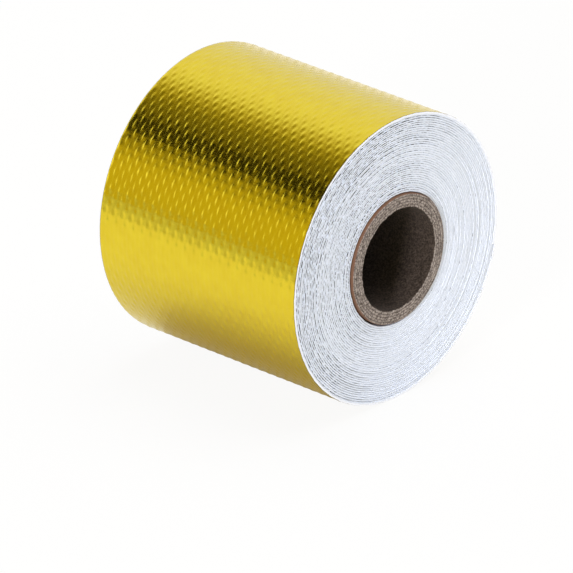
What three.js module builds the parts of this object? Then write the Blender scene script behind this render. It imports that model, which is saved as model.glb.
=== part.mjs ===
// A roll of gold-faced reflective heat tape: woven glass tape and its paper release liner,
// wound together on a cardboard core.
// Millimetres, +Z up. The roll lies on its side with its axis along X, and the origin is
// on the floor under the middle of its width.

import * as THREE from 'three';

// Tape
const TAPE_WIDTH = 50;
const TURN_COUNT = 37;
const TURN_THICKNESS = 0.427; // tape and liner together

// Core
const CORE_OUTER_DIAMETER = 26.2;
const CORE_WALL = 2.8;
const CORE_STAND_OUT = 0.55; // what shows of the core past the tape, at each end
const CORE_CHAMFER = 0.35;
const WINDING_CLEARANCE = 0.3; // between the core and the first turn

// Cut edges of the turns, which stand a little proud and a little back at the roll's ends
const TURNS_PER_RIDGE = 3;
const RIDGE_DEPTH = 0.4;

// Flats around each round wall, in fours so that one flat faces the floor
const FLATS = 64;

const TURN = 2 * Math.PI;
const FLAT_ANGLE = TURN / FLATS;

const coreOuterRadius = CORE_OUTER_DIAMETER / 2;
const coreBoreRadius = coreOuterRadius - CORE_WALL;
const windingBoreRadius = coreOuterRadius + WINDING_CLEARANCE;
const rollRadius = windingBoreRadius + TURN_COUNT * TURN_THICKNESS;
const axisHeight = rollRadius * Math.cos(FLAT_ANGLE / 2); // from the axis to the lowest flat

// A ring turned about X from a closed outline of (radius, distance along the axis) points,
// which runs anticlockwise with the radius to the right and the axis upwards.
function turnedRing(outline) {
  const closed = [...outline, outline[0]];
  const ring = new THREE.LatheGeometry(closed, FLATS, FLAT_ANGLE / 2, TURN);
  ring.rotateZ(-Math.PI / 2); // the lathe turns about Y
  return ring;
}

// One end of the winding, from its bore to its outer wall: crests and grooves, one pair to
// each few turns. The bore and the outer wall both end on a crest.
function ridgedEnd() {
  const ridgeCount = Math.max(1, Math.floor(TURN_COUNT / TURNS_PER_RIDGE));
  const pitch = (rollRadius - windingBoreRadius) / ridgeCount;
  const crest = TAPE_WIDTH / 2;
  const points = [new THREE.Vector2(windingBoreRadius, crest)];
  for (let ridge = 0; ridge < ridgeCount; ridge += 1) {
    const start = windingBoreRadius + ridge * pitch;
    points.push(new THREE.Vector2(start + pitch / 2, crest - RIDGE_DEPTH));
    points.push(new THREE.Vector2(start + pitch, crest));
  }
  return points;
}

function mirrored(points) {
  return points.map((point) => new THREE.Vector2(point.x, -point.y));
}

function tapeRoll() {
  const end = ridgedEnd();
  const material = new THREE.MeshStandardMaterial({
    color: 0xe0bd2a,
    metalness: 0.9,
    roughness: 0.3,
  });
  const outline = [...mirrored(end), ...end.slice().reverse()];
  const roll = new THREE.Mesh(turnedRing(outline), material);
  roll.name = 'tape_roll';
  return roll;
}

function cardboardCore() {
  const halfLength = TAPE_WIDTH / 2 + CORE_STAND_OUT;
  const end = [
    new THREE.Vector2(coreBoreRadius, halfLength - CORE_CHAMFER),
    new THREE.Vector2(coreBoreRadius + CORE_CHAMFER, halfLength),
    new THREE.Vector2(coreOuterRadius - CORE_CHAMFER, halfLength),
    new THREE.Vector2(coreOuterRadius, halfLength - CORE_CHAMFER),
  ];
  const material = new THREE.MeshStandardMaterial({
    color: 0x8a7462,
    metalness: 0,
    roughness: 0.9,
  });
  const outline = [...mirrored(end), ...end.slice().reverse()];
  const core = new THREE.Mesh(turnedRing(outline), material);
  core.name = 'cardboard_core';
  return core;
}

const heatTape = new THREE.Group();
heatTape.add(tapeRoll(), cardboardCore());
heatTape.position.z = axisHeight;

export default heatTape;
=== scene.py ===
"""The looks of a roll of gold-faced reflective heat tape on its cardboard core.

The tape is a woven glass cloth with a gold metallised film on its outer face and a white
release liner on its inner one. It is wound in a spiral, lies on its side, and its axis is
along X. Sizes are in metres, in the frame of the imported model.

Angles round the roll are measured about its axis, from the top towards -Y.
"""

from __future__ import annotations

import logging
import math
from collections.abc import Callable, Iterator, Sequence
from contextlib import contextmanager
from dataclasses import dataclass
from enum import Enum, IntEnum
from typing import Any

import bmesh
import bpy
import numpy as np
from mathutils import Matrix, Vector

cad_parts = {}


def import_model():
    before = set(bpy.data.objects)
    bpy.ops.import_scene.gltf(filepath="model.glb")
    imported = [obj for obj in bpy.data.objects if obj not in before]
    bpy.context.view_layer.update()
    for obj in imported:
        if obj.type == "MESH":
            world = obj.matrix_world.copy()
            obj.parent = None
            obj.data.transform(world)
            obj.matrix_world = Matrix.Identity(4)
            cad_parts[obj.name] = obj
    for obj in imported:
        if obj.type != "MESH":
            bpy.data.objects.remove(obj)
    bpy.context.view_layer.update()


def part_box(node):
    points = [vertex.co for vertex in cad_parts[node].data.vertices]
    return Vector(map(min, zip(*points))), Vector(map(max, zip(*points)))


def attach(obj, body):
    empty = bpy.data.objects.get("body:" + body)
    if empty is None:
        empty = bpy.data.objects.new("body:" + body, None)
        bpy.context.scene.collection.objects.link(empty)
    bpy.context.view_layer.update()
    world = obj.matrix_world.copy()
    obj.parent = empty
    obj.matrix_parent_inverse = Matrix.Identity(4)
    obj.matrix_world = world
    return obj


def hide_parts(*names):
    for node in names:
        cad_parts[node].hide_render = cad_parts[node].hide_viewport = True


MM = 0.001
TURN = 2 * math.pi
SAME_PLACE = 0.0001 * MM  # points nearer than this are one
HAIR = 0.001 * MM  # more than rounding, and less than any real size here
CORE_WALL = 2.8 * MM
CORE_GAP = 0.04 * MM  # between the core and the first turn
ROOT_BODY = "root"

log = logging.getLogger("heat_tape_roll")


class Slot(Enum):
    """The record's material slots."""

    GOLD_TAPE = "gold_faced_tape"
    CARDBOARD = "core_cardboard"
    CUT_EDGES = "white_cut_edges"


class TurnFace(IntEnum):
    """The outer turn's finishes, in the order of its materials."""

    GOLD_FILM = 0
    SLIT_CLOTH = 1
    SLIT_FILM = 2


# Small tools for meshes


@contextmanager
def edit_mode(piece: bpy.types.Object) -> Iterator[None]:
    """Opens a piece in edit mode with nothing selected, and leaves it in object mode.

    Args:
        piece: The mesh object to edit.

    Yields:
        Nothing.
    """
    bpy.ops.object.select_all(action="DESELECT")
    piece.select_set(True)
    bpy.context.view_layer.objects.active = piece
    bpy.ops.object.mode_set(mode="EDIT")
    bpy.ops.mesh.select_mode(type="EDGE")
    bpy.ops.mesh.select_all(action="DESELECT")
    yield
    bpy.ops.object.mode_set(mode="OBJECT")


def select_edges(piece: bpy.types.Object, wanted: Callable[[bmesh.types.BMEdge], bool]) -> None:
    """Selects the edges that pass a test, and nothing else, in edit mode.

    Args:
        piece: The mesh object, in edit mode.
        wanted: Says whether an edge is selected.
    """
    bpy.ops.mesh.select_all(action="DESELECT")
    mesh = bmesh.from_edit_mesh(piece.data)
    for edge in mesh.edges:
        if wanted(edge):
            edge.select_set(True)
    bmesh.update_edit_mesh(piece.data)


def read_points(piece: bpy.types.Object) -> np.ndarray:
    """Reads where a piece's vertices are.

    Args:
        piece: The mesh object, in object mode.

    Returns:
        Rows of x, y and z.
    """
    points = np.empty(len(piece.data.vertices) * 3)
    piece.data.vertices.foreach_get("co", points)
    return points.reshape(-1, 3)


def write_points(piece: bpy.types.Object, points: np.ndarray) -> None:
    """Puts a piece's vertices at the given rows of x, y and z."""
    piece.data.vertices.foreach_set("co", points.ravel())
    piece.data.update()


def flat_strip(name: str, columns: int, rows: int) -> bpy.types.Object:
    """Adds a flat grid, one unit each way, with a UV map from 0 to 1.

    Args:
        name: The piece's name.
        columns: Faces along X.
        rows: Faces along Y.

    Returns:
        The grid, with one corner at the origin.
    """
    bpy.ops.object.select_all(action="DESELECT")
    bpy.ops.mesh.primitive_grid_add(
        x_subdivisions=columns, y_subdivisions=rows, size=1, location=(0.5, 0.5, 0)
    )
    strip = bpy.context.object
    strip.name = strip.data.name = name
    bpy.ops.object.transform_apply(location=True, rotation=True, scale=True)
    return strip


def tidy_shell(piece: bpy.types.Object, sharp_above: float) -> None:
    """Merges doubles, turns the faces outwards and shades them.

    Args:
        piece: A closed mesh.
        sharp_above: The angle between faces, in radians, that keeps an edge sharp.
    """
    with edit_mode(piece):
        bpy.ops.mesh.select_all(action="SELECT")
        bpy.ops.mesh.remove_doubles(threshold=SAME_PLACE)
        bpy.ops.mesh.normals_make_consistent(inside=False)
    bpy.ops.object.shade_smooth_by_angle(angle=sharp_above)


# Small tools for materials


def linear(colour: str) -> tuple[float, float, float, float]:
    """Turns an sRGB colour to linear.

    Args:
        colour: Six hex digits.

    Returns:
        Red, green, blue, and an alpha of 1.
    """
    channels = (int(colour[start : start + 2], 16) / 255 for start in (0, 2, 4))
    red, green, blue = (
        value / 12.92 if value <= 0.04045 else ((value + 0.055) / 1.055) ** 2.4
        for value in channels
    )
    return red, green, blue, 1.0


def add_node(
    tree: bpy.types.NodeTree,
    kind: str,
    settings: dict[str, Any] | None = None,
    inputs: dict[str | int, Any] | None = None,
    stops: Sequence[tuple[float, tuple[float, float, float, float]]] = (),
) -> bpy.types.Node:
    """Adds a node with its settings, its sockets' values or links, and its ramp.

    Args:
        tree: The node tree.
        kind: The node's type.
        settings: Properties of the node itself.
        inputs: Values or output sockets, by input name or number.
        stops: Places and colours of a colour ramp.

    Returns:
        The new node.
    """
    node = tree.nodes.new(kind)
    for name, value in (settings or {}).items():
        setattr(node, name, value)
    for name, value in (inputs or {}).items():
        if isinstance(value, bpy.types.NodeSocket):
            tree.links.new(value, node.inputs[name])
        else:
            node.inputs[name].default_value = value
    for number, (place, colour) in enumerate(stops):
        elements = node.color_ramp.elements
        element = elements[number] if number < len(elements) else elements.new(place)
        element.position = place
        element.color = colour
    return node


def new_material(name: str) -> tuple[bpy.types.Material, bpy.types.NodeTree]:
    """Makes a material.

    Args:
        name: Its name.

    Returns:
        The material and its empty node tree.
    """
    material = bpy.data.materials.new(name)
    material.use_nodes = True
    material.node_tree.nodes.clear()
    return material, material.node_tree


def finish_material(tree: bpy.types.NodeTree, surface: bpy.types.Node) -> None:
    """Links a surface shader to the material's output."""
    add_node(tree, "ShaderNodeOutputMaterial", inputs={"Surface": surface.outputs[0]})


# Sizes of the winding


@dataclass(frozen=True)
class Winding:
    """The spiral that the tape and its liner make round the core.

    A place in it is a number of turns from the start at the core, and a share of one
    turn's thickness, from 0 at the liner to 1 at the gold film.
    """

    width: float
    height: float
    bore_radius: float
    turns: int = 37
    tail_angle: float = math.radians(257)  # low on the back, where the free end lies

    @property
    def turns_at_floor(self) -> float:
        """The number of turns from the core to the floor under the roll."""
        return self.turns + 1.5 - self.tail_angle / TURN

    @property
    def pitch(self) -> float:
        """How far one turn lies outside the one before."""
        return (self.height - 2 * self.bore_radius) / (2 * self.turns_at_floor - 0.5)

    @property
    def axis_height(self) -> float:
        """The axis's height over the floor that the outermost turn lies on."""
        return self.bore_radius + self.pitch * self.turns_at_floor

    @property
    def outer_radius(self) -> float:
        """The radius at the free end."""
        return self.bore_radius + self.pitch * (self.turns + 1)

    def radius(self, turned: np.ndarray, share: np.ndarray) -> np.ndarray:
        """Returns the radius at a number of turns and a share of a turn's thickness."""
        return self.bore_radius + self.pitch * (turned + share)

    def place(self, across: np.ndarray, radius: np.ndarray, turned: np.ndarray) -> np.ndarray:
        """Winds points up.

        Args:
            across: Distance along the roll's axis from its middle.
            radius: Distance from the axis.
            turned: Number of turns from the start of the tape.

        Returns:
            Rows of x, y and z.
        """
        angle = self.tail_angle + TURN * turned
        return np.column_stack(
            (across, -radius * np.sin(angle), self.axis_height + radius * np.cos(angle))
        )


@dataclass(frozen=True)
class GlassCloth:
    """The plain weave of the glass cloth, which shows through the film as relief."""

    warp_spacing: float = 1.117 * MM
    weft_spacing: float = 1.66 * MM
    warp_lift: float = 0.048 * MM  # each warp yarn's rise and fall over and under the weft
    warp_crown: float = 0.10 * MM  # how much lower a yarn's edges are than its middle
    warp_roundness: float = 1.4
    weft_depth: float = 0.024 * MM  # how far the weft lies under the warp's middle line
    weft_crown: float = 0.030 * MM
    film_softness: float = 0.026 * MM  # how wide the film bridges the hollows
    unevenness: float = 0.25
    seed: int = 11

    def relief(self, across: np.ndarray, along: np.ndarray) -> np.ndarray:
        """Returns the height of the film over the cloth's middle plane.

        Args:
            across: Distance across the tape.
            along: Distance along the tape.

        Returns:
            The height at each point, never more than the highest crown.
        """
        random = np.random.default_rng(self.seed)
        column = across / self.warp_spacing
        row = along / self.weft_spacing
        warp_yarn = np.floor(column).astype(int)
        weft_yarn = np.floor(row).astype(int)
        crossings = (weft_yarn.max() + 1, warp_yarn.max() + 1)
        warp_share = 1 + self.unevenness * random.uniform(-1, 1, crossings)
        weft_share = 1 + self.unevenness * random.uniform(-1, 1, crossings[0])
        over = np.where(warp_yarn % 2 == 0, 1.0, -1.0) * warp_share[weft_yarn, warp_yarn]
        warp = over * np.sin(math.pi * row) * self.warp_lift
        side = np.abs(2 * (column - warp_yarn) - 1)
        warp -= self.warp_crown * side**self.warp_roundness
        weft = -self.weft_depth * weft_share[weft_yarn]
        weft -= self.weft_crown * (2 * (row - weft_yarn) - 1) ** 2
        soft = self.film_softness
        height = soft * np.logaddexp(warp / soft, weft / soft)
        return height - self.warp_lift * (1 + self.unevenness)


# Finishes


@dataclass(frozen=True)
class GoldFilm:
    """Gold metallised polyester film, laminated hot to glass cloth.

    The thin film follows every yarn, so it reflects like a mirror that is pressed into a
    weave: bright, deep yellow, with dashes where it turns from light to dark.
    """

    bright: str = "EAD534"
    deep: str = "DEC228"
    roughness: float = 0.18
    clear_skin: float = 0.2  # the film's clear outer side, which whitens it at a low angle
    gloss_spread: float = 0.25  # share of the roughness by which patches differ
    patches_per_mm: float = 0.35
    crinkle_per_mm: float = 2.2
    crinkle_height: float = 0.016 * MM
    # Across and along the tape. Real filaments are 0.01 mm thick, too fine to show.
    filament_per_mm: tuple[float, float] = (7.0, 0.8)
    filament_height: float = 0.004 * MM

    def build(self, width: float, length: float) -> bpy.types.Material:
        """Makes the material.

        Args:
            width: The tape's width, which the UV map's X covers.
            length: The outer turn's length, which the UV map's Y covers.

        Returns:
            The material.
        """
        material, tree = new_material("gold_metallised_film")
        uv = add_node(tree, "ShaderNodeUVMap")
        size_mm = (width / MM, length / MM, 1)
        place = add_node(
            tree, "ShaderNodeMapping", inputs={"Vector": uv.outputs[0], "Scale": size_mm}
        )
        patches = add_node(
            tree,
            "ShaderNodeTexNoise",
            inputs={"Vector": place.outputs[0], "Scale": self.patches_per_mm, "Detail": 3.0},
        )
        colour = add_node(
            tree,
            "ShaderNodeMix",
            {"data_type": "RGBA"},
            {0: patches.outputs["Fac"], 6: linear(self.bright), 7: linear(self.deep)},
        )
        gloss = add_node(
            tree,
            "ShaderNodeMapRange",
            inputs={
                "Value": patches.outputs["Fac"],
                "To Min": self.roughness * (1 - self.gloss_spread),
                "To Max": self.roughness * (1 + self.gloss_spread),
            },
        )
        crinkle = add_node(
            tree,
            "ShaderNodeTexNoise",
            inputs={"Vector": place.outputs[0], "Scale": self.crinkle_per_mm, "Detail": 3.0},
        )
        stretched = add_node(
            tree,
            "ShaderNodeMapping",
            inputs={"Vector": place.outputs[0], "Scale": (*self.filament_per_mm, 1)},
        )
        filaments = add_node(
            tree,
            "ShaderNodeTexNoise",
            inputs={"Vector": stretched.outputs[0], "Scale": 1.0, "Detail": 2.0},
        )
        film_bump = add_node(
            tree,
            "ShaderNodeBump",
            inputs={
                "Height": crinkle.outputs["Fac"],
                "Strength": 1.0,
                "Distance": self.crinkle_height,
            },
        )
        bump = add_node(
            tree,
            "ShaderNodeBump",
            inputs={
                "Height": filaments.outputs["Fac"],
                "Strength": 1.0,
                "Distance": self.filament_height,
                "Normal": film_bump.outputs[0],
            },
        )
        surface = add_node(
            tree,
            "ShaderNodeBsdfPrincipled",
            inputs={
                "Base Color": colour.outputs[2],
                "Metallic": 1.0,
                "Roughness": gloss.outputs[0],
                "Normal": bump.outputs[0],
                "Coat Weight": self.clear_skin,
                "Coat Roughness": self.roughness,
            },
        )
        finish_material(tree, surface)
        return material


@dataclass(frozen=True)
class CutTurnEdges:
    """Slit edges of white release paper and glass cloth, turn after turn.

    Paper and glass are both white. The thin dark line between two turns is the edge of the
    film, broken up where the slitting knife dragged glass over it.
    """

    paper: str = "F4F7FC"
    glass: str = "E6EBF2"
    shade: str = "C6CAD0"
    film: str = "302F29"
    dashes_round: float = 190
    dashes_per_turn: float = 1.2
    faintest_dash: float = 0.1
    grain_per_mm: float = 5.0
    grain_height: float = 0.03 * MM

    def build(self, turns: int) -> bpy.types.Material:
        """Makes the material.

        Args:
            turns: The number of turns that the UV map's Y covers.

        Returns:
            The material.
        """
        material, tree = new_material("slit_paper_and_glass_edges")
        uv = add_node(tree, "ShaderNodeUVMap")
        axes = add_node(tree, "ShaderNodeSeparateXYZ", inputs={0: uv.outputs[0]})
        wound = add_node(
            tree, "ShaderNodeMath", {"operation": "MULTIPLY"}, {0: axes.outputs[1], 1: turns}
        )
        share = add_node(tree, "ShaderNodeMath", {"operation": "FRACT"}, {0: wound.outputs[0]})
        layers = add_node(
            tree,
            "ShaderNodeValToRGB",
            inputs={0: share.outputs[0]},
            stops=(
                (0.0, linear(self.shade)),
                (0.25, linear(self.paper)),
                (0.45, linear(self.paper)),
                (0.55, linear(self.glass)),
                (0.72, linear(self.glass)),
                (0.78, linear(self.film)),
                (1.0, linear(self.film)),
            ),
        )
        dash_scale = (self.dashes_round, turns * self.dashes_per_turn, 1)
        dash_place = add_node(
            tree, "ShaderNodeMapping", inputs={"Vector": uv.outputs[0], "Scale": dash_scale}
        )
        dashes = add_node(
            tree,
            "ShaderNodeTexNoise",
            inputs={"Vector": dash_place.outputs[0], "Scale": 1.0, "Detail": 2.0},
        )
        faint = (self.faintest_dash, self.faintest_dash, self.faintest_dash, 1)
        broken = add_node(
            tree,
            "ShaderNodeValToRGB",
            inputs={0: dashes.outputs["Fac"]},
            stops=((0.41, faint), (0.57, (1, 1, 1, 1))),
        )
        colour = add_node(
            tree,
            "ShaderNodeMix",
            {"data_type": "RGBA"},
            {0: broken.outputs[0], 6: linear(self.glass), 7: layers.outputs[0]},
        )
        where = add_node(tree, "ShaderNodeTexCoord")
        grain = add_node(
            tree,
            "ShaderNodeTexNoise",
            inputs={
                "Vector": where.outputs["Object"],
                "Scale": self.grain_per_mm / MM,
                "Detail": 2.0,
            },
        )
        bump = add_node(
            tree,
            "ShaderNodeBump",
            inputs={
                "Height": grain.outputs["Fac"],
                "Strength": 0.6,
                "Distance": self.grain_height,
            },
        )
        surface = add_node(
            tree,
            "ShaderNodeBsdfPrincipled",
            inputs={
                "Base Color": colour.outputs[2],
                "Roughness": 0.85,
                "Normal": bump.outputs[0],
            },
        )
        finish_material(tree, surface)
        return material


@dataclass(frozen=True)
class SlitEdge:
    """One layer's edge where the knife slit the tape: dull and finely torn."""

    name: str
    colour: str
    fibre_per_mm: float = 4.0
    fibre_height: float = 0.02 * MM

    def build(self) -> bpy.types.Material:
        """Makes the material.

        Returns:
            The material.
        """
        material, tree = new_material(self.name)
        where = add_node(tree, "ShaderNodeTexCoord")
        fibres = add_node(
            tree,
            "ShaderNodeTexNoise",
            inputs={"Vector": where.outputs["Object"], "Scale": self.fibre_per_mm / MM},
        )
        bump = add_node(
            tree,
            "ShaderNodeBump",
            inputs={
                "Height": fibres.outputs["Fac"],
                "Strength": 0.5,
                "Distance": self.fibre_height,
            },
        )
        surface = add_node(
            tree,
            "ShaderNodeBsdfPrincipled",
            inputs={
                "Base Color": linear(self.colour),
                "Roughness": 0.8,
                "Normal": bump.outputs[0],
            },
        )
        finish_material(tree, surface)
        return material


@dataclass(frozen=True)
class CoreBoard:
    """Grey-brown chipboard tube, wound from plies and cut with a round knife.

    The cut end shows short pale and dark fibres and faint lines between the plies. The
    outermost ply is orange-brown kraft paper.
    """

    pale: str = "C2B4A6"
    dark: str = "4C3F37"
    kraft: str = "755440"
    shaded_lining_pale: str = "574A3F"  # the inner wall's grey-brown ply, drawn near black as painted shade inside the bore
    shaded_lining_dark: str = "29211B"
    fibre_per_mm: float = 2.6  # coarser than real fibres, which are too fine to show
    fibre_height: float = 0.10 * MM
    drift_per_mm: float = 0.12  # of the plies, in and out
    kraft_ply: float = 0.20 * MM
    kraft_fade: float = 0.1 * MM
    lining_ply: float = 0.12 * MM
    plies: float = 5.0

    def between(
        self, tree: bpy.types.NodeTree, value: bpy.types.NodeSocket, low: float, high: float
    ) -> bpy.types.NodeSocket:
        """Returns a factor that rises from 0 to 1 while a value goes from low to high."""
        limits = {"Value": value, "From Min": low, "From Max": high}
        return add_node(tree, "ShaderNodeMapRange", inputs=limits).outputs[0]

    def build(self, core: CardboardCore) -> bpy.types.Material:
        """Makes the material.

        Args:
            core: The tube, whose points keep their radius.

        Returns:
            The material.
        """
        material, tree = new_material("spiral_wound_chipboard")
        where = add_node(tree, "ShaderNodeTexCoord")
        fibre = add_node(
            tree,
            "ShaderNodeTexNoise",
            inputs={
                "Vector": where.outputs["Object"],
                "Scale": self.fibre_per_mm / MM,
                "Detail": 4.0,
                "Roughness": 0.7,
            },
        )
        speckle = add_node(
            tree,
            "ShaderNodeValToRGB",
            inputs={0: fibre.outputs["Fac"]},
            stops=((0.38, linear(self.dark)), (0.64, linear(self.pale))),
        )
        # the bore's lining ply: grey-brown board, darkened as painted shade inside the bore
        lining = add_node(
            tree,
            "ShaderNodeValToRGB",
            inputs={0: fibre.outputs["Fac"]},
            stops=((0.40, linear(self.shaded_lining_dark)), (0.64, linear(self.shaded_lining_pale))),
        )
        radius = add_node(tree, "ShaderNodeAttribute", {"attribute_name": "radius"})
        drift = add_node(
            tree,
            "ShaderNodeTexNoise",
            inputs={
                "Vector": where.outputs["Object"],
                "Scale": self.drift_per_mm / MM,
                "Detail": 3.0,
            },
        )
        uneven = add_node(
            tree,
            "ShaderNodeMath",
            {"operation": "MULTIPLY_ADD"},
            {0: drift.outputs["Fac"], 1: self.kraft_ply * 2, 2: radius.outputs["Fac"]},
        )
        kraft_start = core.outer_radius + self.kraft_ply / 10
        kraft_share = self.between(
            tree, uneven.outputs[0], kraft_start, kraft_start + self.kraft_fade
        )
        ply_place = add_node(
            tree,
            "ShaderNodeMath",
            {"operation": "MULTIPLY"},
            {0: uneven.outputs[0], 1: self.plies / core.wall},
        )
        ply = add_node(tree, "ShaderNodeMath", {"operation": "FRACT"}, {0: ply_place.outputs[0]})
        seam = add_node(
            tree,
            "ShaderNodeMapRange",
            inputs={"Value": ply.outputs[0], "From Min": 0.66, "From Max": 0.8, "To Max": 0.75},
        )
        board = add_node(
            tree,
            "ShaderNodeMix",
            {"data_type": "RGBA"},
            {0: seam.outputs[0], 6: speckle.outputs[0], 7: linear(self.dark)},
        )
        face = add_node(
            tree,
            "ShaderNodeMix",
            {"data_type": "RGBA"},
            {0: kraft_share, 6: board.outputs[2], 7: linear(self.kraft)},
        )
        bore = core.outer_radius - core.wall
        face_share = self.between(
            tree, radius.outputs["Fac"], bore + self.lining_ply, bore + self.lining_ply * 2
        )
        colour = add_node(
            tree,
            "ShaderNodeMix",
            {"data_type": "RGBA"},
            {0: face_share, 6: lining.outputs[0], 7: face.outputs[2]},
        )
        bump = add_node(
            tree,
            "ShaderNodeBump",
            inputs={
                "Height": fibre.outputs["Fac"],
                "Strength": 0.8,
                "Distance": self.fibre_height,
            },
        )
        surface = add_node(
            tree,
            "ShaderNodeBsdfPrincipled",
            inputs={
                "Base Color": colour.outputs[2],
                "Roughness": 0.92,
                "Normal": bump.outputs[0],
            },
        )
        finish_material(tree, surface)
        return material


# Pieces


@dataclass
class InnerTurns:
    """All turns but the outermost, as one closed winding with its edges at both ends."""

    winding: Winding
    steps_round: int = 318
    # From the liner to the film: share of the turn's thickness, and of the groove's depth
    layers: tuple[tuple[float, float], ...] = ((0.0, 1.0), (0.16, 0.25), (0.55, 0.0), (0.93, 0.05))
    groove_depth: float = 0.14 * MM
    # Number of turns from the core, and times the groove's depth
    depth_by_turn: tuple[tuple[float, float], ...] = (
        (13, 0.9),
        (16, 0.5),
        (21, 0.5),
        (24, 1.3),
        (36, 1.9),
    )
    tears_per_turn: int = 150
    shifts_per_turn: int = 3
    telescoping: float = 0.07 * MM  # how far a turn is shifted along the axis, at the most
    start_stand_out: float = 0.10 * MM  # how far the first turns follow the core outwards
    sharp_above: float = math.radians(50)
    seed: int = 5

    @property
    def turns(self) -> int:
        """The number of turns in this piece."""
        return self.winding.turns - 1

    def wander(self, turned: np.ndarray, knots_per_turn: int, stream: int) -> np.ndarray:
        """Draws random values that change evenly along the tape.

        Args:
            turned: Number of turns from the start of the tape.
            knots_per_turn: How often the values change.
            stream: Which of the random streams to take.

        Returns:
            A value from 0 to 1 for each point.
        """
        random = np.random.default_rng((self.seed, stream))
        knots = random.uniform(0, 1, (self.turns + 2) * knots_per_turn)
        return np.interp(turned * knots_per_turn, np.arange(len(knots)), knots)

    def edge(self, turned: np.ndarray, depth: np.ndarray) -> tuple[np.ndarray, np.ndarray]:
        """Works out where the slit edge lies along the axis.

        Args:
            turned: Number of turns from the start of the tape.
            depth: Share of the groove's depth.

        Returns:
            How far each point stands out past the tape's width, which is the same at both
            ends, and how far it is shifted towards +X.
        """
        ragged = 2 * self.wander(turned, self.tears_per_turn, 0)
        deeper = np.interp(turned, *zip(*self.depth_by_turn))
        stand_out = self.start_stand_out * np.exp(-turned)
        stand_out -= depth * self.groove_depth * ragged * deeper
        shift = (self.wander(turned, self.shifts_per_turn, 1) * 2 - 1) * self.telescoping
        return stand_out, shift

    def end_sheet(self, side: int) -> bpy.types.Object:
        """Makes the slit edges of all turns at one end.

        Args:
            side: 1 for the end towards +X, -1 for the other.

        Returns:
            An open sheet.
        """
        rows = self.turns * len(self.layers)
        sheet = flat_strip("wound_turns", self.steps_round, rows)
        points = read_points(sheet)
        turn, layer = np.divmod(np.round(points[:, 1] * rows).astype(int), len(self.layers))
        turned = points[:, 0] + turn
        share, depth = np.array(self.layers)[layer].T
        stand_out, shift = self.edge(turned, depth)
        across = side * (self.winding.width / 2 + stand_out) + shift
        radius = self.winding.radius(turned, share)
        write_points(sheet, self.winding.place(across, radius, turned))
        return sheet

    def build(self, edges: bpy.types.Material) -> bpy.types.Object:
        """Makes both ends and joins them with the inner and outer walls.

        Args:
            edges: The finish of the slit edges.

        Returns:
            The closed piece.
        """
        near, far = self.end_sheet(1), self.end_sheet(-1)
        bpy.ops.object.select_all(action="DESELECT")
        near.select_set(True)
        far.select_set(True)
        bpy.context.view_layer.objects.active = near
        bpy.ops.object.join()
        split = (self.winding.bore_radius + self.winding.outer_radius) / 2
        axis = Vector((0, 0, self.winding.axis_height))
        with edit_mode(near):
            bpy.ops.mesh.select_all(action="SELECT")
            bpy.ops.mesh.remove_doubles(threshold=SAME_PLACE)
            for inner in (True, False):
                select_edges(
                    near,
                    lambda edge: edge.is_boundary
                    and ((edge.verts[0].co - axis).yz.length < split) == inner,
                )
                bpy.ops.mesh.bridge_edge_loops()
        near.data.materials.append(edges)
        tidy_shell(near, self.sharp_above)
        return near


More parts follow.
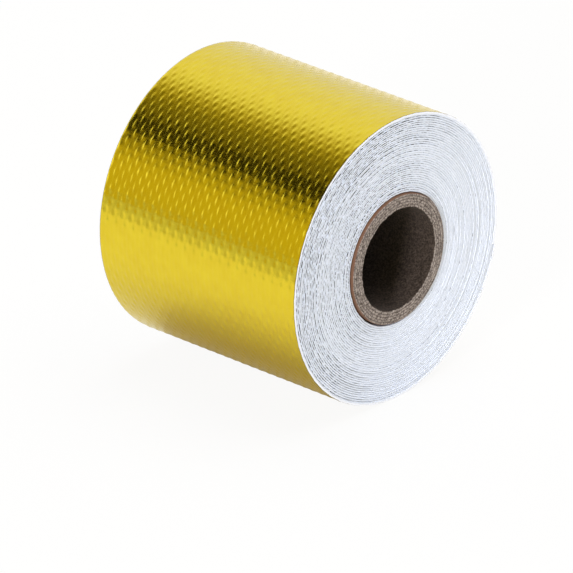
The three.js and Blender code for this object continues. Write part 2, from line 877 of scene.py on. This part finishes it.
@dataclass
class OuterTurn:
    """The outermost turn: woven gold face, white slit edges and the free end."""

    winding: Winding
    cloth: GlassCloth
    steps_per_warp: int = 5
    steps_per_weft: int = 4
    stand_out: float = 0.06 * MM
    film_setback: float = 0.09 * MM  # how far the gold face ends short of the slit edge
    film_share: float = 0.06  # of the turn's thickness
    backing_share: float = 0.90  # glass cloth, adhesive and liner
    tail_length: float = 20 * MM
    tail_lift: float = 0.15 * MM  # how far the free end springs off the turn under it
    sharp_above: float = math.radians(50)
    least_outward: float = 0.5  # a face that looks outwards less than this isn't gold

    @property
    def length(self) -> float:
        """The length of the turn, at its outer face."""
        return TURN * (self.winding.outer_radius - self.winding.pitch / 2)

    def build(self, finishes: Sequence[bpy.types.Material]) -> bpy.types.Object:
        """Makes the turn as a closed strip.

        Args:
            finishes: The finishes of the gold face, the slit paper and cloth, and the slit
                edge of the film.

        Returns:
            The piece.
        """
        winding = self.winding
        width = winding.width + 2 * (self.stand_out - self.film_setback)
        columns = math.floor(width / self.cloth.warp_spacing) * self.steps_per_warp
        rows = round(self.length / self.cloth.weft_spacing) * self.steps_per_weft
        turn = flat_strip("gold_outer_turn", columns, rows)
        points = read_points(turn)
        across, along = points[:, 0], points[:, 1]
        relief = self.cloth.relief(across * width, along * self.length)
        turned = winding.turns - 1 + along
        radius = winding.radius(turned, np.ones_like(turned)) + relief
        sprung = np.clip(1 - (1 - along) * self.length / self.tail_length, 0, 1)
        radius += self.tail_lift * sprung**2
        write_points(turn, winding.place((across - 0.5) * width, radius, turned))
        for finish in finishes:
            turn.data.materials.append(finish)
        self.close(turn, width)
        return turn

    def close(self, turn: bpy.types.Object, width: float) -> None:
        """Gives the open woven sheet its thickness, inner wall and two ends.

        Args:
            turn: The woven sheet.
            width: Its width.
        """
        axis = Vector((0, 0, self.winding.axis_height))
        limit = width / 2 - HAIR

        def at_side(one: bmesh.types.BMEdge) -> bool:
            """Says whether an open edge runs along one of the two long sides."""
            return one.is_boundary and all(abs(vertex.co.x) > limit for vertex in one.verts)

        with edit_mode(turn):
            select_edges(turn, at_side)
            for inwards, sideways, finish in (
                (self.winding.pitch * self.film_share, self.film_setback, TurnFace.SLIT_FILM),
                (self.winding.pitch * self.backing_share, 0, TurnFace.SLIT_CLOTH),
            ):
                bpy.ops.mesh.extrude_region_move()
                mesh = bmesh.from_edit_mesh(turn.data)
                for vertex in (one for one in mesh.verts if one.select):
                    outward = vertex.co - axis
                    outward.x = 0
                    vertex.co -= outward.normalized() * inwards
                    vertex.co.x += math.copysign(sideways, vertex.co.x)
                    for face in vertex.link_faces:
                        face.material_index = finish
                bmesh.update_edit_mesh(turn.data)
            bpy.ops.mesh.bridge_edge_loops()
            select_edges(turn, lambda one: one.is_boundary)
            bpy.ops.mesh.edge_face_add()
        tidy_shell(turn, self.sharp_above)
        middle = self.winding.axis_height
        for face in turn.data.polygons:
            centre = face.center
            outward = Vector((0, centre.y, centre.z - middle)).normalized()
            on_film = face.material_index == TurnFace.GOLD_FILM
            if on_film and face.normal.dot(outward) < self.least_outward:
                face.material_index = TurnFace.SLIT_CLOTH


@dataclass
class CardboardCore:
    """The spiral-wound cardboard tube that the tape is wound on."""

    outer_radius: float
    wall: float
    length: float
    axis_height: float
    edge_round: float = 0.28 * MM
    frayed: float = 0.16 * MM  # how far the cut edge stands into the bore
    tears: int = 180
    cut_unevenness: float = 0.04 * MM
    steps_round: int = 360
    cuts_along: int = 24
    cuts_across_wall: int = 11
    sharp_above: float = math.radians(60)
    seed: int = 8

    def build(self, board: bpy.types.Material) -> bpy.types.Object:
        """Turns the tube's section about the axis and roughens its cut ends.

        Args:
            board: The finish of the tube.

        Returns:
            The closed tube.
        """
        bpy.ops.object.select_all(action="DESELECT")
        middle = self.axis_height + self.outer_radius - self.wall / 2
        bpy.ops.mesh.primitive_plane_add(
            size=1, location=(0, 0, middle), rotation=(math.pi / 2, 0, 0)
        )
        core = bpy.context.object
        core.name = core.data.name = "chipboard_tube"
        core.scale = (self.length, self.wall, 1)
        bpy.ops.object.transform_apply(location=True, rotation=True, scale=True)
        with edit_mode(core):
            bpy.ops.mesh.select_all(action="SELECT")
            bpy.ops.mesh.bevel(offset=self.edge_round, segments=3, affect="VERTICES")
            bpy.ops.mesh.delete(type="ONLY_FACE")
            select_edges(core, lambda edge: edge.calc_length() > self.wall)
            bpy.ops.mesh.subdivide(number_cuts=self.cuts_along)
            select_edges(
                core,
                lambda edge: abs(edge.verts[0].co.x - edge.verts[1].co.x) < HAIR
                and edge.calc_length() > self.edge_round * 2,
            )
            bpy.ops.mesh.subdivide(number_cuts=self.cuts_across_wall)
            bpy.ops.mesh.select_all(action="SELECT")
            bpy.ops.mesh.spin(
                steps=self.steps_round,
                angle=TURN,
                center=(0, 0, self.axis_height),
                axis=(1, 0, 0),
            )
        tidy_shell(core, self.sharp_above)
        points = read_points(core)
        radius = np.hypot(points[:, 1], points[:, 2] - self.axis_height)
        attribute = core.data.attributes.new("radius", "FLOAT", "POINT")
        attribute.data.foreach_set("value", radius)
        write_points(core, self.fray(points))
        core.data.materials.append(board)
        return core

    def fray(self, points: np.ndarray) -> np.ndarray:
        """Puts both cut ends a little out of true, and tears them at the bore.

        Args:
            points: The smooth tube's points.

        Returns:
            The moved points.
        """
        random = np.random.default_rng(self.seed)
        angle = np.arctan2(points[:, 1], points[:, 2] - self.axis_height)
        radius = np.hypot(points[:, 1], points[:, 2] - self.axis_height)
        at_end = np.clip(1 - (self.length / 2 - np.abs(points[:, 0])) / self.edge_round, 0, 1)
        at_bore = np.clip((self.outer_radius - radius) / self.wall, 0, 1) ** 3
        knots = random.uniform(-1, 1, self.tears + 1)
        knots[-1] = knots[0]
        torn = np.interp(angle, np.linspace(-math.pi, math.pi, len(knots)), knots)
        share = 1 - self.frayed * at_end * at_bore * (0.5 + torn) / radius
        frayed = points.copy()
        sunk = random.uniform(0, self.cut_unevenness, len(points))
        frayed[:, 0] -= np.sign(points[:, 0]) * at_end * sunk
        frayed[:, 1] *= share
        frayed[:, 2] = self.axis_height + (points[:, 2] - self.axis_height) * share
        return frayed


# The stage


@dataclass(frozen=True)
class PhotoCamera:
    """The photograph's camera, fitted to the roll's outlines in the photograph."""

    azimuth: float = math.radians(42.23)
    elevation: float = math.radians(24.92)
    lens: float = 559.8
    sensor: float = 36.0
    right: float = 0.7174  # the middle of the near end, in roll radii from the view's middle
    above: float = 0.1793
    distance: float = 57.984

    def build(self, near_end: Vector, roll_radius: float) -> None:
        """Places the camera and makes it the scene's.

        Args:
            near_end: The middle of the roll's end that faces the camera.
            roll_radius: The roll's outer radius.
        """
        sine, cosine = math.sin(self.azimuth), math.cos(self.azimuth)
        rise, level = math.sin(self.elevation), math.cos(self.elevation)
        back = Vector((sine * level, -cosine * level, rise))
        across = Vector((cosine, sine, 0))
        up = Vector((-sine * rise, cosine * rise, level))
        offset = across * self.right + up * self.above - back * self.distance
        data = bpy.data.cameras.new("photo_camera")
        data.lens, data.sensor_width = self.lens, self.sensor
        data.clip_start, data.clip_end = 0.05, 20
        camera = bpy.data.objects.new("photo_camera", data)
        camera.matrix_world = Matrix.Translation(near_end - offset * roll_radius) @ Matrix(
            (across, up, back)
        ).transposed().to_4x4()
        bpy.context.scene.collection.objects.link(camera)
        bpy.context.scene.camera = camera


@dataclass(frozen=True)
class LevelSheet:
    """A level sheet or table top that reaches far to the back and the sides."""

    name: str
    colour: str
    front: float  # how far it reaches in front of the roll
    height: float
    cut_out: float  # how far the camera sees it plain white, from 0 to 1
    size: float = 12.0

    def build(self) -> None:
        """Lays the sheet."""
        bpy.ops.object.select_all(action="DESELECT")
        bpy.ops.mesh.primitive_plane_add(
            size=self.size, location=(0, self.size / 2 - self.front, self.height)
        )
        sheet = bpy.context.object
        sheet.name = sheet.data.name = self.name
        material, tree = new_material(self.name)
        paper = add_node(
            tree,
            "ShaderNodeBsdfPrincipled",
            inputs={"Base Color": linear(self.colour), "Roughness": 0.9},
        )
        white = add_node(tree, "ShaderNodeEmission")
        path = add_node(tree, "ShaderNodeLightPath")
        seen = add_node(
            tree,
            "ShaderNodeMath",
            {"operation": "MULTIPLY"},
            {0: path.outputs["Is Camera Ray"], 1: self.cut_out},
        )
        surface = add_node(
            tree,
            "ShaderNodeMixShader",
            inputs={0: seen.outputs[0], 1: paper.outputs[0], 2: white.outputs[0]},
        )
        finish_material(tree, surface)
        sheet.data.materials.append(material)


@dataclass(frozen=True)
class Softbox:
    """A square softbox that lights the roll but isn't mirrored in it."""

    name: str
    towards: tuple[float, float, float]  # from the roll
    distance: float
    size: float
    watts: float
    colour: tuple[float, float, float] = (0.92, 0.98, 1.21)

    def build(self) -> None:
        """Adds the light, turned towards the roll."""
        data = bpy.data.lights.new(self.name, "AREA")
        data.energy, data.size, data.color = self.watts, self.size, self.colour
        light = bpy.data.objects.new(self.name, data)
        direction = Vector(self.towards).normalized()
        light.location = direction * self.distance
        light.rotation_mode = "QUATERNION"
        light.rotation_quaternion = direction.to_track_quat("Z", "Y")
        light.visible_camera = light.visible_glossy = False
        bpy.context.scene.collection.objects.link(light)


@dataclass(frozen=True)
class LightTent:
    """A white tent over a pale floor, lit more on some sides than on others.

    Its brightness changes round the roll's axis. The gold face mirrors that: bright from
    above and behind, dark in the gap over the front wall, then the front wall, then the grey
    table, and then the white sheet that the roll lies on.
    """

    radius: float = 2.6
    half_length: float = 3.0
    # Degrees from straight up towards the front, and brightness
    profile: tuple[tuple[float, float], ...] = (
        (-90, 0.84),
        (-58, 0.94),
        (-24, 1.0),
        (-16, 0.88),
        (-10, 0.70),
        (-4, 0.47),
        (2, 0.31),
        (8, 0.21),
        (20, 0.14),
        (24.5, 0.11),
        (25.5, 0.012),
        (38, 0.012),
        (41, 0.22),
        (50, 0.44),
        (56, 0.59),
        (64, 0.68),
        (90, 0.65),
    )
    wall_colour: tuple[float, float, float] = (1.0, 0.85, 0.16)  # of the front, below the roof
    wall_starts: float = -16.0  # the white roof ends here, in degrees as above
    wall_blend: float = 14.0
    near_end_colour: tuple[float, float, float] = (0.27, 0.30, 0.42)
    far_end_colour: tuple[float, float, float] = (1.3, 1.3, 1.3)
    floor: tuple[LevelSheet, ...] = (
        LevelSheet("white_paper_sheet", "E8E3D6", front=0.19, height=0, cut_out=0.92),
        LevelSheet("grey_table", "C4C4C4", front=6.0, height=-1 * MM, cut_out=1),
    )
    lamps: tuple[Softbox, ...] = (
        Softbox("overhead_softbox", (0.1, 0.2, 1), distance=1.8, size=1.6, watts=22),
        Softbox("end_softbox", (0.31, -0.92, 0.28), distance=1.6, size=0.3, watts=18),
    )

    def shell(self) -> None:
        """Makes the tent's half round roof and its two end walls."""
        bpy.ops.object.select_all(action="DESELECT")
        bpy.ops.mesh.primitive_cylinder_add(
            vertices=96,
            radius=self.radius,
            depth=2 * self.half_length,
            rotation=(0, math.pi / 2, 0),
        )
        tent = bpy.context.object
        tent.name = tent.data.name = "light_tent"
        bpy.ops.object.transform_apply(location=True, rotation=True, scale=True)
        with edit_mode(tent):
            bpy.ops.mesh.select_all(action="SELECT")
            bpy.ops.mesh.bisect(plane_co=(0, 0, 0), plane_no=(0, 0, -1), clear_outer=True)
        tent.data.materials.append(self.glow())

    def cloth_colour(self, degrees: float, level: float) -> Iterator[float]:
        """Returns the cloth's red, green and blue: a white roof, and a warm front wall."""
        warmth = min(1.0, max(0.0, (degrees - self.wall_starts) / self.wall_blend))
        return (level * (1 - warmth * (1 - part)) for part in self.wall_colour)

    def glow(self) -> bpy.types.Material:
        """Makes the tent cloth, lit from outside.

        Returns:
            The material.
        """
        material, tree = new_material("lit_tent_cloth")
        where = add_node(tree, "ShaderNodeTexCoord")
        axes = add_node(tree, "ShaderNodeSeparateXYZ", inputs={0: where.outputs["Object"]})
        front = add_node(
            tree, "ShaderNodeMath", {"operation": "MULTIPLY"}, {0: axes.outputs[1], 1: -1.0}
        )
        angle = add_node(
            tree,
            "ShaderNodeMath",
            {"operation": "ARCTAN2"},
            {0: front.outputs[0], 1: axes.outputs[2]},
        )
        share = add_node(
            tree,
            "ShaderNodeMapRange",
            inputs={
                "Value": angle.outputs[0],
                "From Min": -math.pi / 2,
                "From Max": math.pi / 2,
            },
        )
        stops = [
            ((degrees + 90) / 180, (*self.cloth_colour(degrees, level), 1.0))
            for degrees, level in self.profile
        ]
        bands = add_node(
            tree, "ShaderNodeValToRGB", inputs={0: share.outputs[0]}, stops=stops
        )
        cloth = bands.outputs[0]
        limit = self.half_length * 0.999
        for past, edge, colour in (
            ("GREATER_THAN", limit, self.near_end_colour),
            ("LESS_THAN", -limit, self.far_end_colour),
        ):
            at_end = add_node(
                tree, "ShaderNodeMath", {"operation": past}, {0: axes.outputs[0], 1: edge}
            )
            cloth = add_node(
                tree,
                "ShaderNodeMix",
                {"data_type": "RGBA"},
                {0: at_end.outputs[0], 6: cloth, 7: (*colour, 1.0)},
            ).outputs[2]
        surface = add_node(tree, "ShaderNodeEmission", inputs={"Color": cloth})
        finish_material(tree, surface)
        return material

    def build(self) -> None:
        """Sets up the tent, the floor and the lamps."""
        self.shell()
        for sheet in self.floor:
            sheet.build()
        for lamp in self.lamps:
            lamp.build()
        scene = bpy.context.scene
        scene.view_settings.view_transform = "Standard"
        world = bpy.data.worlds.new("pale_studio")
        world.use_nodes = True
        world.node_tree.nodes["Background"].inputs["Color"].default_value = linear("E6E6E6")
        scene.world = world


def main() -> None:
    """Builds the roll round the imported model."""
    logging.basicConfig(level=logging.INFO, format="%(name)s: %(message)s")
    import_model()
    roll_low, roll_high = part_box("tape_roll")
    core_low, core_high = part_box("cardboard_core")
    axis_height = (roll_low.z + roll_high.z) / 2
    core_radius = (core_high.z - core_low.z) / 2
    winding = Winding(
        width=roll_high.x - roll_low.x,
        height=roll_high.z - roll_low.z,
        bore_radius=core_radius + CORE_GAP,
    )
    PhotoCamera().build(Vector((roll_high.x, 0, axis_height)), axis_height)
    LightTent().build()

    outer = OuterTurn(winding, GlassCloth())
    film = GoldFilm().build(winding.width, outer.length)
    paper = SlitEdge("white_slit_edge", "FAFBFD").build()
    film_edge = SlitEdge("film_slit_edge", "4E4520").build()
    gold = outer.build((film, paper, film_edge))
    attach(gold, ROOT_BODY)
    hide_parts("tape_roll")
    log.info("%s: %d faces", gold.name, len(gold.data.polygons))

    inner = InnerTurns(winding)
    turns = inner.build(CutTurnEdges().build(inner.turns))
    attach(turns, ROOT_BODY)
    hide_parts("tape_roll")
    log.info("%s: %d faces", turns.name, len(turns.data.polygons))

    core = CardboardCore(
        outer_radius=core_radius,
        wall=CORE_WALL,
        length=core_high.x - core_low.x,
        axis_height=winding.axis_height,
    )
    tube = core.build(CoreBoard().build(core))
    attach(tube, ROOT_BODY)
    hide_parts("cardboard_core")
    log.info("%s: %d faces", tube.name, len(tube.data.polygons))


if __name__ == "__main__":
    main()
